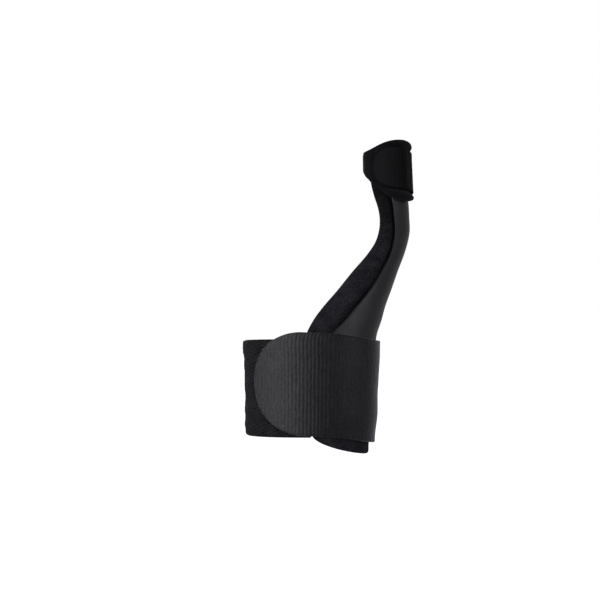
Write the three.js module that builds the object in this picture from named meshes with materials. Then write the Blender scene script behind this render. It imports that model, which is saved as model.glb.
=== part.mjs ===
// A thumb spica splint for a left hand, as it stands when it is worn: a soft pad lies along the thumb side
// of the wrist and up the thumb, a thin stiff shell lies on the pad, and two straps hold the pair to the
// wrist and the thumb. The frame is in millimetres. +Z runs up the forearm towards the fingers, +X towards
// the thumb, and -Y towards the back of the hand. The origin is on the wrist's axis, in the middle of the
// wrist strap.
import * as THREE from "three";

const { lerp, clamp, smoothstep, degToRad, radToDeg } = THREE.MathUtils;

// The wrist and the thumb that the splint closes round, measured inside the padding.
const wristWidth = 54.4;
const wristDepth = 39;
const thumbWidth = 16.2;
const thumbDepth = 17.4;
// How far the thumb's axis stands from the wrist's, towards the thumb side and towards the palm.
const thumbReach = 35.2;
const thumbDrop = 17;
// How squarely the wrist's section fills its width and depth: 2 is an ellipse, and more is boxier.
const wristSquareness = 2.25;
// From the wrist line up to the top of the thumb band, and down to the pad's lowest edge.
const rise = 118.3;
const fall = 32.6;

// The layers, from the skin outwards.
const padThickness = 2.6;
const padThicknessAtThumb = 1.5;
const padRoll = 1.1;
const shellThickness = 1.3;
const bandThickness = 2.6;
const wristStrapThickness = 1.6;
const wristPatchThickness = 0.7;
const thumbBandThickness = 1.2;
const thumbLipSwell = 1.2;
const thumbStrapThickness = 1.1;
const thumbPatchThickness = 0.6;
const layerGap = 0.28;
const skinGap = 0.2;
// How far in from its edge a soft sheet is rounded.
const edgeSoftness = 1.8;

// The pad's hem at the wrist, how far its other end stays inside the thumb band, and how far up its
// swelling border takes to rise and to fall.
const padHem = 23.4;
const padInset = 1.5;
const rollRun = 10;
const rollClearance = 1.5;
// The shell's two ends, under the wrist strap and inside the thumb band, its corners, and how far the pad's
// roll keeps from its edge.
const shellFoot = 13;
const shellHead = 6;
const shellCorner = 5;
const shellMargin = 0.8;
// The soft band that closes the wrist on its far side, and the gap at its two seams with the pad.
const bandTop = 21.6;
const bandHem = 24;
const seamGap = 0.4;

// The wrist strap. It runs from its round tab over the back of the wrist, round the thumb side and onto the
// band's palm side. Its middle line sags on the thumb side, and less on the palm side. Turns are in degrees.
const wristStrapWidth = 48.6;
const wristStrapRise = 1.2;
const wristStrapSag = 4.2;
const wristStrapPalmSag = 3.2;
const wristTabTurn = 143;
const wristStrapStart = -118;
const wristPatchInset = 2;
// How far short of the shell's edge the tab's patch ends, in degrees.
const wristPatchStandOff = 15;
// How the strap comes down to what lies beside the shell and the patch: over so many degrees, and from so
// far below the shell's foot.
const shellStepClearance = 2;
const shellStepTurn = 14;
const shellStepFall = 12;
const patchStepTurn = 12;

// The thumb band, how far its lips take to swell, and the narrow strap on it, which also ends in a round
// tab. The strap's place is a share of the band's width, down from its top.
const thumbBandWidth = 29;
const thumbLipRun = 2.4;
const thumbStrapWidth = 19.5;
const thumbStrapPlace = 0.55;
const thumbStrapTilt = 2.5;
const thumbTabTurn = 113;
const thumbStrapStart = -100;
const thumbPatchEnd = 52;
const thumbPatchInset = 1.5;
// The turns between which the thumb band comes in from the pad to the skin, on the side of the web.
const webStart = 136;
const webEnd = 176;
const thumbStepClearance = 4;
const thumbStepTurn = 30;

// The heights at which the pad's border starts to swell, above the wrist strap, and ends, below the thumb
// band.
const rollStart = wristStrapRise + wristStrapWidth / 2 + rollClearance;
const rollEnd = rise - thumbBandWidth - rollClearance;

// Sections of the limb, from the hem up to the thumb. "at" is a share of the rise, or of the fall where it
// is negative. "reach" and "drop" are shares of the thumb's reach and drop. "slim" and "thin" go from 0,
// the wrist's width and depth, to 1, the thumb's. "pad" and "shell" are the angles of their edges on the
// back of the hand, in degrees.
const sections = [
  { at: -1.0, reach: -0.045, drop: 0.0, slim: 0.03, thin: 0.04, pad: 87, shell: 71 },
  { at: -0.4, reach: -0.038, drop: 0.0, slim: 0.01, thin: 0.02, pad: 88, shell: 71 },
  { at: 0.0, reach: -0.034, drop: 0.0, slim: 0.0, thin: 0.0, pad: 90, shell: 71 },
  { at: 0.1, reach: -0.031, drop: 0.0, slim: -0.03, thin: -0.02, pad: 92, shell: 72 },
  { at: 0.2, reach: -0.024, drop: 0.01, slim: -0.05, thin: -0.02, pad: 92.5, shell: 73 },
  { at: 0.264, reach: 0.067, drop: 0.05, slim: -0.01, thin: 0.03, pad: 92, shell: 65.5 },
  { at: 0.32, reach: 0.176, drop: 0.11, slim: 0.09, thin: 0.09, pad: 90.5, shell: 59.5 },
  { at: 0.39, reach: 0.361, drop: 0.21, slim: 0.26, thin: 0.19, pad: 89.5, shell: 53.5 },
  { at: 0.46, reach: 0.56, drop: 0.35, slim: 0.46, thin: 0.34, pad: 90, shell: 51 },
  { at: 0.53, reach: 0.759, drop: 0.49, slim: 0.645, thin: 0.53, pad: 89.5, shell: 52 },
  { at: 0.58, reach: 0.878, drop: 0.58, slim: 0.76, thin: 0.67, pad: 90.5, shell: 56.5 },
  { at: 0.63, reach: 0.955, drop: 0.66, slim: 0.84, thin: 0.79, pad: 94.5, shell: 61.5 },
  { at: 0.68, reach: 0.983, drop: 0.72, slim: 0.895, thin: 0.87, pad: 98.5, shell: 65 },
  { at: 0.73, reach: 0.994, drop: 0.775, slim: 0.925, thin: 0.92, pad: 107, shell: 68.5 },
  { at: 0.78, reach: 0.997, drop: 0.82, slim: 0.96, thin: 0.955, pad: 121, shell: 73.5 },
  { at: 0.84, reach: 1.0, drop: 0.87, slim: 0.985, thin: 0.98, pad: 134, shell: 77 },
  { at: 1.0, reach: 0.992, drop: 1.0, slim: 1.0, thin: 1.0, pad: 139, shell: 80 },
];

// The thumb band's two edges round the thumb. "turn" is in degrees, and "top" and "foot" say how far each
// edge stands in from the band's widest place, as shares of its width.
const thumbBandEdges = [
  { turn: -180, top: 0.22, foot: 0.56 },
  { turn: -135, top: 0.22, foot: 0.44 },
  { turn: -90, top: 0.18, foot: 0.16 },
  { turn: -45, top: 0.12, foot: 0.05 },
  { turn: 0, top: 0.05, foot: 0.03 },
  { turn: 45, top: 0.0, foot: 0.0 },
  { turn: 75, top: 0.02, foot: 0.06 },
  { turn: 105, top: 0.1, foot: 0.22 },
  { turn: 135, top: 0.18, foot: 0.38 },
  { turn: 180, top: 0.22, foot: 0.56 },
];

// The pad's palm edge and the shell's, as shares of their angles on the back of the hand.
const palmPadShare = 0.95;
const palmShellShare = 1.0;

// A smooth curve through each column of a table, as a function from one column to all the others by name.
function columnsOf(table, along, ending) {
  const names = Object.keys(table[0]).filter((name) => name !== along);
  const curve = new THREE.CubicInterpolant(
    table.map((row) => row[along]),
    table.flatMap((row) => names.map((name) => row[name])),
    names.length,
  );
  curve.settings = { endingStart: ending, endingEnd: ending };
  return (place) => Object.fromEntries(names.map((name, i) => [name, curve.evaluate(place)[i]]));
}

const sectionColumns = columnsOf(sections, "at", THREE.ZeroSlopeEnding);
const thumbBandColumns = columnsOf(thumbBandEdges, "turn", THREE.WrapAroundEnding);

// The limb's section at a height: its centre, half sizes and squareness, and the edges of what lies on it.
function sectionAt(height) {
  const row = sectionColumns(clamp(height < 0 ? height / fall : height / rise, -1, 1));
  return {
    x: row.reach * thumbReach,
    y: row.drop * thumbDrop,
    halfWidth: lerp(wristWidth, thumbWidth, row.slim) / 2,
    halfDepth: lerp(wristDepth, thumbDepth, row.thin) / 2,
    power: lerp(wristSquareness, 2, clamp(row.slim, 0, 1)),
    pad: row.pad,
    shell: row.shell,
  };
}

// A point over the limb: at a height, at a turn round it from the thumb side towards the back of the hand,
// and at a lift off the skin, square to the section.
function over(height, turn, lift) {
  const s = sectionAt(height);
  const cos = Math.cos(degToRad(turn));
  const sin = Math.sin(degToRad(turn));
  const across = Math.sign(cos) * Math.abs(cos) ** (2 / s.power);
  const along = Math.sign(sin) * Math.abs(sin) ** (2 / s.power);
  const normal = new THREE.Vector2(
    (Math.sign(cos) * Math.abs(across) ** (s.power - 1)) / s.halfWidth,
    (Math.sign(sin) * Math.abs(along) ** (s.power - 1)) / s.halfDepth,
  ).normalize();
  return new THREE.Vector3(
    s.x + s.halfWidth * across + lift * normal.x,
    s.y - (s.halfDepth * along + lift * normal.y),
    height,
  );
}

// How far round the limb a length along its skin reaches, from one turn towards smaller ones.
function turnAfter(length, fromTurn, height, lift) {
  let turn = fromTurn;
  let left = length;
  let here = over(height, turn, lift);
  while (left > 0) {
    const next = over(height, turn - 1, lift);
    const gone = here.distanceTo(next);
    turn -= Math.min(1, left / gone);
    left -= gone;
    here = next;
  }
  return turn;
}

// Places from 0 to 1 across a sheet, with extra ones near each end so that the edge can be rounded there.
function places(count, rim) {
  const inner = Array.from({ length: count + 1 }, (_, i) => lerp(2 * rim, 1 - 2 * rim, i / count));
  return [0, rim * 0.7, ...inner, 1 - rim * 0.7, 1];
}

// How much of its full thickness a soft sheet has at a distance in from its edge.
function softEdge(distance) {
  const inwards = Math.min(1, distance / edgeSoftness);
  return 0.5 + 0.5 * Math.sqrt(1 - (1 - inwards) ** 2);
}

// The pad's places across: close together over each bare border, and evenly spaced under the shell.
const padBorderShare = 0.28;
const padPlaces = [
  ...[0, 0.06, 0.16, 0.32, 0.5, 0.68, 0.84].map((share) => share * padBorderShare),
  ...Array.from({ length: 11 }, (_, i) => lerp(padBorderShare, 1 - padBorderShare, i / 10)),
  ...[0.84, 0.68, 0.5, 0.32, 0.16, 0.06, 0].map((share) => 1 - share * padBorderShare),
];

// A closed sheet between two surfaces, given as functions of the places across it and up it. A ring joins
// up with itself across. The places across run so that the outside is on the right-hand side of "up".
function sheet(across, up, insideAt, outsideAt, ring = false) {
  const n = across.length;
  const m = up.length;
  const points = [];
  for (const surface of [insideAt, outsideAt]) {
    for (const v of up) {
      for (const u of across) points.push(...surface(u, v).toArray());
    }
  }
  const at = (side, i, j) => side * n * m + j * n + (i % n);
  const faces = [];
  const quad = (a, b, c, d) => faces.push(a, b, c, a, c, d);
  const columns = ring ? n : n - 1;
  for (let j = 0; j < m - 1; j++) {
    for (let i = 0; i < columns; i++) {
      quad(at(1, i, j), at(1, i + 1, j), at(1, i + 1, j + 1), at(1, i, j + 1));
      quad(at(0, i, j), at(0, i, j + 1), at(0, i + 1, j + 1), at(0, i + 1, j));
    }
  }
  for (let i = 0; i < columns; i++) {
    quad(at(0, i, 0), at(0, i + 1, 0), at(1, i + 1, 0), at(1, i, 0));
    quad(at(1, i, m - 1), at(1, i + 1, m - 1), at(0, i + 1, m - 1), at(0, i, m - 1));
  }
  if (!ring) {
    for (let j = 0; j < m - 1; j++) {
      quad(at(0, 0, j), at(1, 0, j), at(1, 0, j + 1), at(0, 0, j + 1));
      quad(at(1, n - 1, j), at(0, n - 1, j), at(0, n - 1, j + 1), at(1, n - 1, j + 1));
    }
  }
  const geometry = new THREE.BufferGeometry();
  geometry.setAttribute("position", new THREE.Float32BufferAttribute(points, 3));
  geometry.setIndex(faces);
  geometry.computeVertexNormals();
  return geometry;
}

const padThicknessAt = (height) =>
  lerp(padThickness, padThicknessAtThumb, smoothstep(height, rollStart, rollEnd));

const thumbBandTop = (turn) => rise - thumbBandWidth * thumbBandColumns(turn).top;
const thumbBandFoot = (turn) => rise - thumbBandWidth * (1 - thumbBandColumns(turn).foot);

// The pad's lower edge dips below the wrist strap on the thumb side.
const padFoot = (turn) => -lerp(padHem, fall, Math.sqrt(Math.max(0, Math.cos(degToRad(turn)))));

// The soft pad, from its hem below the wrist strap to the inside of the thumb band. Its bare border beside
// the shell swells into a low roll.
function thumbPad() {
  const lengthUp = rise + fall;
  const turnAt = (u, height) => {
    const { pad, shell, halfWidth } = sectionAt(height);
    const bare = shell + radToDeg(shellMargin / halfWidth);
    if (u < padBorderShare) return lerp(pad, bare, u / padBorderShare);
    if (u > 1 - padBorderShare) {
      return lerp(-pad * palmPadShare, -bare * palmShellShare, (1 - u) / padBorderShare);
    }
    return lerp(bare, -bare * palmShellShare, (u - padBorderShare) / (1 - 2 * padBorderShare));
  };
  const heightAt = (u, v) =>
    lerp(padFoot(turnAt(u, -fall)), thumbBandTop(turnAt(u, rise)) - padInset, v);
  const outsideAt = (u, v) => {
    const height = heightAt(u, v);
    const turn = turnAt(u, height);
    const { pad, halfWidth } = sectionAt(height);
    const border = Math.min(1, Math.min(u, 1 - u) / padBorderShare);
    const rising = smoothstep(height, rollStart, rollStart + rollRun);
    const falling = smoothstep(height, rollEnd - rollRun, rollEnd);
    const roll = padRoll * rising * (1 - falling) * Math.sqrt(Math.sin(Math.PI * border));
    const edge = pad * (turn > 0 ? 1 : palmPadShare);
    const toSide = degToRad(Math.abs(Math.abs(turn) - edge)) * halfWidth;
    const toEnd = Math.min(v, 1 - v) * lengthUp;
    const lift = (padThicknessAt(height) + roll) * softEdge(Math.min(toSide, toEnd));
    return over(height, turn, lift);
  };
  const insideAt = (u, v) => {
    const height = heightAt(u, v);
    return over(height, turnAt(u, height), 0);
  };
  return sheet(padPlaces, places(30, 0.006), insideAt, outsideAt);
}

// The stiff shell on the pad, an even sheet with rounded corners.
function splintShell() {
  const turnAt = (u, height) => {
    const { shell } = sectionAt(height);
    return lerp(shell, -shell * palmShellShare, u);
  };
  const heightAt = (u, v) => {
    const corner = shellCorner * Math.abs(2 * u - 1) ** 8;
    return lerp(-shellFoot + corner, rise - shellHead - corner, v);
  };
  const surface = (thickness) => (u, v) => {
    const height = heightAt(u, v);
    return over(height, turnAt(u, height), padThicknessAt(height) + layerGap + thickness);
  };
  return sheet(places(12, 0.03), places(26, 0.01), surface(0), surface(shellThickness));
}

// The soft band that closes the wrist on the little-finger side, from one edge of the pad to the other.
function wristBand() {
  const turnAt = (u, height) => {
    const { pad, halfWidth } = sectionAt(height);
    const seam = radToDeg(seamGap / halfWidth);
    return lerp(-pad * palmPadShare - seam, pad + seam - 360, u);
  };
  const heightAt = (v) => lerp(-bandHem, bandTop, v);
  const insideAt = (u, v) => over(heightAt(v), turnAt(u, heightAt(v)), 0);
  const outsideAt = (u, v) => {
    const toEnd = Math.min(v, 1 - v) * (bandTop + bandHem);
    return over(heightAt(v), turnAt(u, heightAt(v)), bandThickness * softEdge(toEnd));
  };
  return sheet(places(18, 0.01), places(6, 0.02), insideAt, outsideAt);
}

// Half the width of a strap at a length from its round tab's tip.
const tabHalfWidth = (length, radius) =>
  length < radius ? Math.sqrt(radius ** 2 - (radius - length) ** 2) : radius;

// Lengths along a strap: close together round the tab, and evenly spaced after it.
function strapLengths(radius, length, tabSteps, restSteps) {
  const tip = 0.1;
  const round = Array.from({ length: tabSteps }, (_, i) =>
    radius * (1 - Math.cos(lerp(tip, Math.PI / 2, i / tabSteps))),
  );
  const rest = Array.from({ length: restSteps + 1 }, (_, i) => lerp(radius, length, i / restSteps));
  return [...round, ...rest];
}

// The height of the wrist strap's middle line: it lies level over the back of the wrist, sags round the thumb
// side, and stays a little lower across the palm.
function wristStrapMiddle(turn) {
  const sin = Math.sin(degToRad(clamp(turn, -90, 90)));
  return wristStrapRise - lerp(wristStrapSag, turn > 0 ? 0 : wristStrapPalmSag, sin ** 2);
}

// Where the wrist strap's patch ends, short of the shell's edge.
const wristPatchEnd = sectionAt(wristStrapRise + wristStrapWidth / 2).shell + wristPatchStandOff;

// How far off the skin the wrist strap lies: on the pad or the band, then on the tab's patch or the shell.
function underWristStrap(height, turn) {
  const { shell } = sectionAt(height);
  const beside = shell + shellStepClearance;
  const overShell = 1 - smoothstep(Math.abs(turn), beside, beside + shellStepTurn);
  const onShell = smoothstep(height, -shellFoot - shellStepFall, -shellFoot);
  const overPatch = smoothstep(turn, wristPatchEnd - patchStepTurn, wristPatchEnd - 1);
  const shellLift = (shellThickness + layerGap) * overShell * onShell;
  const patchLift = (wristPatchThickness + layerGap) * overPatch;
  return Math.max(padThickness, bandThickness) + layerGap + Math.max(shellLift, patchLift);
}

// The length along the skin from one turn to a smaller one, at a height and lift.
function lengthBetween(fromTurn, toTurn, height, lift) {
  let sum = 0;
  for (let turn = fromTurn; turn > toTurn; turn--) {
    sum += over(height, turn, lift).distanceTo(over(height, Math.max(toTurn, turn - 1), lift));
  }
  return sum;
}

// A strap round a limb, or its patch: a sheet as wide as its round tab lets it be at each length.
function strapSheet({ tip, length, radius, middle, liftAt, thickness, inset = 0, steps, rows }) {
  const lengths = strapLengths(radius - inset, length - inset, ...steps);
  const reach = middle(tip);
  const midLift = liftAt(reach, tip);
  const columns = lengths.map((along) => {
    const turn = turnAfter(along + inset, tip, middle(tip), midLift);
    return { turn, half: tabHalfWidth(along, radius - inset) };
  });
  const at = (extra) => (i, v) => {
    const { turn, half } = columns[i];
    const height = middle(turn) + lerp(-half, half, v);
    return over(height, turn, liftAt(height, turn) + extra);
  };
  const up = Array.from({ length: rows + 1 }, (_, j) => j / rows);
  return sheet([...columns.keys()], up, at(0), at(thickness));
}

function wristStrap() {
  const lift = underWristStrap(0, wristTabTurn);
  return strapSheet({
    tip: wristTabTurn,
    length: lengthBetween(wristTabTurn, wristStrapStart, wristStrapMiddle(wristTabTurn), lift),
    radius: wristStrapWidth / 2,
    middle: wristStrapMiddle,
    liftAt: underWristStrap,
    thickness: wristStrapThickness,
    steps: [8, 30],
    rows: 8,
  });
}

// The hook patch under the wrist strap's tab, which holds it to the band.
function wristHookPatch() {
  const lift = Math.max(padThickness, bandThickness) + layerGap;
  return strapSheet({
    tip: wristTabTurn,
    length: lengthBetween(wristTabTurn, wristPatchEnd, wristStrapMiddle(wristTabTurn), lift),
    radius: wristStrapWidth / 2,
    middle: wristStrapMiddle,
    liftAt: () => lift,
    thickness: wristPatchThickness,
    inset: wristPatchInset,
    steps: [6, 3],
    rows: 4,
  });
}

// How far off the skin the thumb band lies: on the pad and the shell, and on neither in the web.
function underThumbBand(height, turn) {
  const { pad, shell } = sectionAt(Math.max(height, rise - thumbBandWidth));
  const beside = shell + thumbStepClearance;
  const overPad = 1 - smoothstep(Math.abs(turn), Math.max(pad, webStart), webEnd);
  const overShell = 1 - smoothstep(Math.abs(turn), beside, beside + thumbStepTurn);
  const padLift = (padThicknessAtThumb + layerGap) * overPad;
  const shellLift = (shellThickness + layerGap) * overShell;
  return skinGap + padLift + shellLift;
}

// The height of the thumb strap's middle line, which tilts with the thumb.
const thumbStrapMiddle = (turn) =>
  rise - thumbBandWidth * thumbStrapPlace + thumbStrapTilt * Math.sin(degToRad(turn));

// How much the thumb band swells beyond the edges of the strap that presses on it.
function thumbLip(height, turn) {
  const beyondStrap = Math.abs(height - thumbStrapMiddle(turn)) - thumbStrapWidth / 2;
  return thumbLipSwell * smoothstep(beyondStrap, layerGap, layerGap + thumbLipRun);
}

// The inner band round the thumb, which holds the pad and the shell's upper end. It is narrowest in the web
// of the hand, and its edges swell into soft lips above and below the strap.
function thumbBand() {
  const turns = Array.from({ length: 32 }, (_, i) => 180 - (360 * i) / 32);
  const heightAt = (turn, v) => lerp(thumbBandFoot(turn), thumbBandTop(turn), v);
  const insideAt = (turn, v) => {
    const height = heightAt(turn, v);
    return over(height, turn, underThumbBand(height, turn));
  };
  const outsideAt = (turn, v) => {
    const height = heightAt(turn, v);
    const toEnd = Math.min(v, 1 - v) * (thumbBandTop(turn) - thumbBandFoot(turn));
    const thickness = (thumbBandThickness + thumbLip(height, turn)) * softEdge(toEnd);
    return over(height, turn, underThumbBand(height, turn) + thickness);
  };
  return sheet(turns, places(16, 0.015), insideAt, outsideAt, true);
}

const onThumbBand = (height, turn) => underThumbBand(height, turn) + thumbBandThickness + layerGap;

// Under the thumb strap, the band lies with the tab's patch on it.
function underThumbStrap(height, turn) {
  const overPatch = smoothstep(turn, thumbPatchEnd - 2 * patchStepTurn, thumbPatchEnd - 1);
  return onThumbBand(height, turn) + (thumbPatchThickness + layerGap) * overPatch;
}

function thumbStrap() {
  const middle = thumbStrapMiddle(thumbTabTurn);
  const lift = underThumbStrap(middle, thumbTabTurn);
  return strapSheet({
    tip: thumbTabTurn,
    length: lengthBetween(thumbTabTurn, thumbStrapStart, middle, lift),
    radius: thumbStrapWidth / 2,
    middle: thumbStrapMiddle,
    liftAt: underThumbStrap,
    thickness: thumbStrapThickness,
    steps: [6, 16],
    rows: 4,
  });
}

// The hook patch under the thumb strap's tab.
function thumbHookPatch() {
  const middle = thumbStrapMiddle(thumbTabTurn);
  return strapSheet({
    tip: thumbTabTurn,
    length: lengthBetween(thumbTabTurn, thumbPatchEnd, middle, onThumbBand(middle, thumbTabTurn)),
    radius: thumbStrapWidth / 2,
    middle: thumbStrapMiddle,
    liftAt: onThumbBand,
    thickness: thumbPatchThickness,
    inset: thumbPatchInset,
    steps: [5, 3],
    rows: 3,
  });
}

// Colours, from the softest black of the brushed cloth to the dark grey of the shell.
const brushedCloth = { color: 0x1b1b1f, roughness: 0.95, metalness: 0 };
const thumbCloth = { color: 0x151517, roughness: 0.95, metalness: 0 };
const stiffSheet = { color: 0x2b2b2d, roughness: 0.5, metalness: 0 };
const elastic = { color: 0x29292b, roughness: 0.8, metalness: 0 };
const hookTape = { color: 0x161617, roughness: 0.7, metalness: 0 };

const splint = new THREE.Group();
for (const [name, geometry, finish] of [
  ["thumb_pad", thumbPad(), brushedCloth],
  ["splint_shell", splintShell(), stiffSheet],
  ["wrist_band", wristBand(), brushedCloth],
  ["wrist_strap", wristStrap(), elastic],
  ["wrist_hook_patch", wristHookPatch(), hookTape],
  ["thumb_band", thumbBand(), thumbCloth],
  ["thumb_strap", thumbStrap(), thumbCloth],
  ["thumb_hook_patch", thumbHookPatch(), hookTape],
]) {
  const mesh = new THREE.Mesh(geometry, new THREE.MeshStandardMaterial(finish));
  mesh.name = name;
  splint.add(mesh);
}

export default splint;
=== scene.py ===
import math

import bpy
import numpy as np
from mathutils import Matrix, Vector, noise


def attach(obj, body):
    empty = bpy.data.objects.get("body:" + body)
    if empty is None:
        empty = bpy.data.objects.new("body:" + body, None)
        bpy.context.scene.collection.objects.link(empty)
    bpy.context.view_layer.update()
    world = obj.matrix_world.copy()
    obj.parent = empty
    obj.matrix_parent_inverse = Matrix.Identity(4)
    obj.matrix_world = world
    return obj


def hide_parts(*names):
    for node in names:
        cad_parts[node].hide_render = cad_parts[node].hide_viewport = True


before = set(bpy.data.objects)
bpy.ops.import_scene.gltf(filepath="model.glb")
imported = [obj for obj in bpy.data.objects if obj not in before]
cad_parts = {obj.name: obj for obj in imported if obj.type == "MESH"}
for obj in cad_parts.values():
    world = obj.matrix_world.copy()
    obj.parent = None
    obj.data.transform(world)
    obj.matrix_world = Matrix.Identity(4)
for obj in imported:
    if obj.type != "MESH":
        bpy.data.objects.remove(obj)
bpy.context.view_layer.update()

# A left thumb spica splint, in the form that it has when worn. Lengths are in millimetres until a mesh is
# made, and turns are in degrees round the limb, from +X, the thumb's side, over -Y, the camera's side. The
# sizes and tables are the frame's, apart from those that a comment gives to this script alone.
MM = 0.001

# The wrist and the thumb inside the padding, how far the thumb's axis stands from the wrist's, how square the
# wrist's section is, and how far the part reaches above and below the wrist line.
WRIST_WIDTH = 54.4
WRIST_DEPTH = 39.0
THUMB_WIDTH = 16.2
THUMB_DEPTH = 17.4
THUMB_REACH = 35.2
THUMB_DROP = 17.0
WRIST_SQUARENESS = 2.25
RISE = 118.3
FALL = 32.6

# The layers, from the skin outwards. The thumb band's lips swell 0.1 mm more than in the frame.
PAD_THICKNESS = 2.6
PAD_THICKNESS_AT_THUMB = 1.5
SHELL_THICKNESS = 1.3
BAND_THICKNESS = 2.6
WRIST_STRAP_THICKNESS = 1.6
WRIST_PATCH_THICKNESS = 0.7
THUMB_BAND_THICKNESS = 1.2
THUMB_LIP_SWELL = 1.3
THUMB_STRAP_THICKNESS = 1.1
THUMB_PATCH_THICKNESS = 0.6
LAYER_GAP = 0.28
SKIN_GAP = 0.2

# The ends of the pad, the shell and the wrist band. The pad's hem starts 1 mm higher than in the frame.
PAD_HEM = 22.4
PAD_INSET = 1.5
PALM_PAD_SHARE = 0.95
SHELL_FOOT = 13.0
SHELL_HEAD = 6.0
SHELL_CORNER = 5.0
SHELL_MARGIN = 0.8
BAND_TOP = 21.6
BAND_HEM = 24.0
SEAM_GAP = 0.4

# The wrist strap: its width, the course of its middle line, its two ends and its patch.
WRIST_STRAP_WIDTH = 48.6
WRIST_STRAP_RISE = 1.2
WRIST_STRAP_SAG = 4.2
WRIST_STRAP_PALM_SAG = 3.2
WRIST_TAB_TURN = 143.0
WRIST_STRAP_START = -118.0
WRIST_PATCH_INSET = 2.0
WRIST_PATCH_STAND_OFF = 15.0

# How the strap comes down to what lies beside the shell and the patch.
SHELL_STEP_CLEARANCE = 2.0
SHELL_STEP_TURN = 14.0
SHELL_STEP_FALL = 12.0
PATCH_STEP_TURN = 12.0

# For this script alone: the strap rises between two turns towards its tab, slopes down slowly over the back
# of the wrist, keeps a share of the shell's lift below the shell, and bulges on the thumb side.
WRIST_TAB_RISE = 0.8
WRIST_TAB_RISE_TURNS = (85.0, 112.0)
SHELL_SLOPE_TURN = 32.0
STRAP_BRIDGE_SHARE = 0.5
STRAP_SIDE_BULGE = 0.4

# The thumb band and its strap. On the side of the web the band comes in to the skin, between two turns.
THUMB_BAND_WIDTH = 29.0
THUMB_LIP_RUN = 2.4
THUMB_STRAP_WIDTH = 19.5
THUMB_STRAP_PLACE = 0.55
THUMB_STRAP_TILT = 2.5
THUMB_TAB_TURN = 113.0
THUMB_STRAP_START = -100.0
THUMB_PATCH_END = 52.0
THUMB_PATCH_SEAT = 1.0
THUMB_PATCH_INSET = 1.5
WEB_START = 136.0
WEB_END = 176.0
THUMB_STEP_CLEARANCE = 4.0
THUMB_STEP_TURN = 30.0

# The heights between which the pad's bare border swells.
WRIST_STRAP_TOP = WRIST_STRAP_RISE + WRIST_STRAP_WIDTH / 2
ROLL_CLEARANCE = 1.5
ROLL_START = WRIST_STRAP_TOP + ROLL_CLEARANCE
ROLL_END = RISE - THUMB_BAND_WIDTH - ROLL_CLEARANCE

# Sections of the limb, as the frame has them: shares of the rise (or of the fall, below zero), of the
# thumb's reach and drop, and from the wrist's sizes to the thumb's, then the edges' turns.
SECTION_COLUMNS = ("at", "reach", "drop", "slim", "thin", "pad", "shell")
SECTIONS = (
    (-1.0, -0.045, 0.0, 0.03, 0.04, 87, 71),
    (-0.4, -0.038, 0.0, 0.01, 0.02, 88, 71),
    (0.0, -0.034, 0.0, 0.0, 0.0, 90, 71),
    (0.1, -0.031, 0.0, -0.03, -0.02, 92, 72),
    (0.2, -0.024, 0.01, -0.05, -0.02, 92.5, 73),
    (0.264, 0.067, 0.05, -0.01, 0.03, 92, 65.5),
    (0.32, 0.176, 0.11, 0.09, 0.09, 90.5, 59.5),
    (0.39, 0.361, 0.21, 0.26, 0.19, 89.5, 53.5),
    (0.46, 0.56, 0.35, 0.46, 0.34, 90, 51),
    (0.53, 0.759, 0.49, 0.645, 0.53, 89.5, 52),
    (0.58, 0.878, 0.58, 0.76, 0.67, 90.5, 56.5),
    (0.63, 0.955, 0.66, 0.84, 0.79, 94.5, 61.5),
    (0.68, 0.983, 0.72, 0.895, 0.87, 98.5, 65),
    (0.73, 0.994, 0.775, 0.925, 0.92, 107, 68.5),
    (0.78, 0.997, 0.82, 0.96, 0.955, 121, 73.5),
    (0.84, 1.0, 0.87, 0.985, 0.98, 134, 77),
    (1.0, 0.992, 1.0, 1.0, 1.0, 139, 80),
)

# The thumb band's two edges round the thumb, as shares of its width in from its widest place.
THUMB_BAND_COLUMNS = ("turn", "top", "foot")
THUMB_BAND_EDGES = (
    (-180, 0.22, 0.56),
    (-135, 0.22, 0.44),
    (-90, 0.18, 0.16),
    (-45, 0.12, 0.05),
    (0, 0.05, 0.03),
    (45, 0.0, 0.0),
    (75, 0.02, 0.06),
    (105, 0.1, 0.22),
    (135, 0.18, 0.38),
    (180, 0.22, 0.56),
)


# The limb and the layers on it, as arrays of points


def columns_of(columns, rows, wraps=False):
    """A smooth curve through each column of a table, as a function from its first column to a dict."""
    table = np.array(rows, float)
    knots, values = table[:, 0], table[:, 1:]
    if wraps:
        before, after = values[-2], values[1]
        start = knots[0] + knots[-2] - knots[-1]
        end = knots[-1] + knots[1] - knots[0]
    else:
        before, after = values[1], values[-1]
        start = 2 * knots[0] - knots[1]
        end = 2 * knots[-1] - knots[-2]
    knots = np.concatenate([[start], knots, [end]])
    values = np.vstack([before, values, after])

    def at(place):
        place = np.clip(np.asarray(place, float), knots[1], knots[-2])
        i = np.clip(np.searchsorted(knots, place, side="right") - 1, 1, len(knots) - 3)
        span = knots[i + 1] - knots[i]
        back = 0.5 * span / (knots[i] - knots[i - 1])
        ahead = 0.5 * span / (knots[i + 2] - knots[i + 1])
        p = (place - knots[i]) / span
        shares = (
            -back * p**3 + 2 * back * p**2 - back * p,
            (1 + back) * p**3 + (-1.5 - 2 * back) * p**2 + (-0.5 + back) * p + 1,
            (-1 - ahead) * p**3 + (1.5 + ahead) * p**2 + 0.5 * p,
            ahead * p**3 - ahead * p**2,
        )
        found = sum(share[..., None] * values[i + k - 1] for k, share in enumerate(shares))
        return {name: found[..., k] for k, name in enumerate(columns[1:])}

    return at


section_columns = columns_of(SECTION_COLUMNS, SECTIONS)
thumb_band_columns = columns_of(THUMB_BAND_COLUMNS, THUMB_BAND_EDGES, wraps=True)


def lerp(a, b, share):
    return a + (b - a) * share


def smoothstep(x, low, high):
    share = np.clip((x - low) / (high - low), 0, 1)
    return share * share * (3 - 2 * share)


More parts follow.
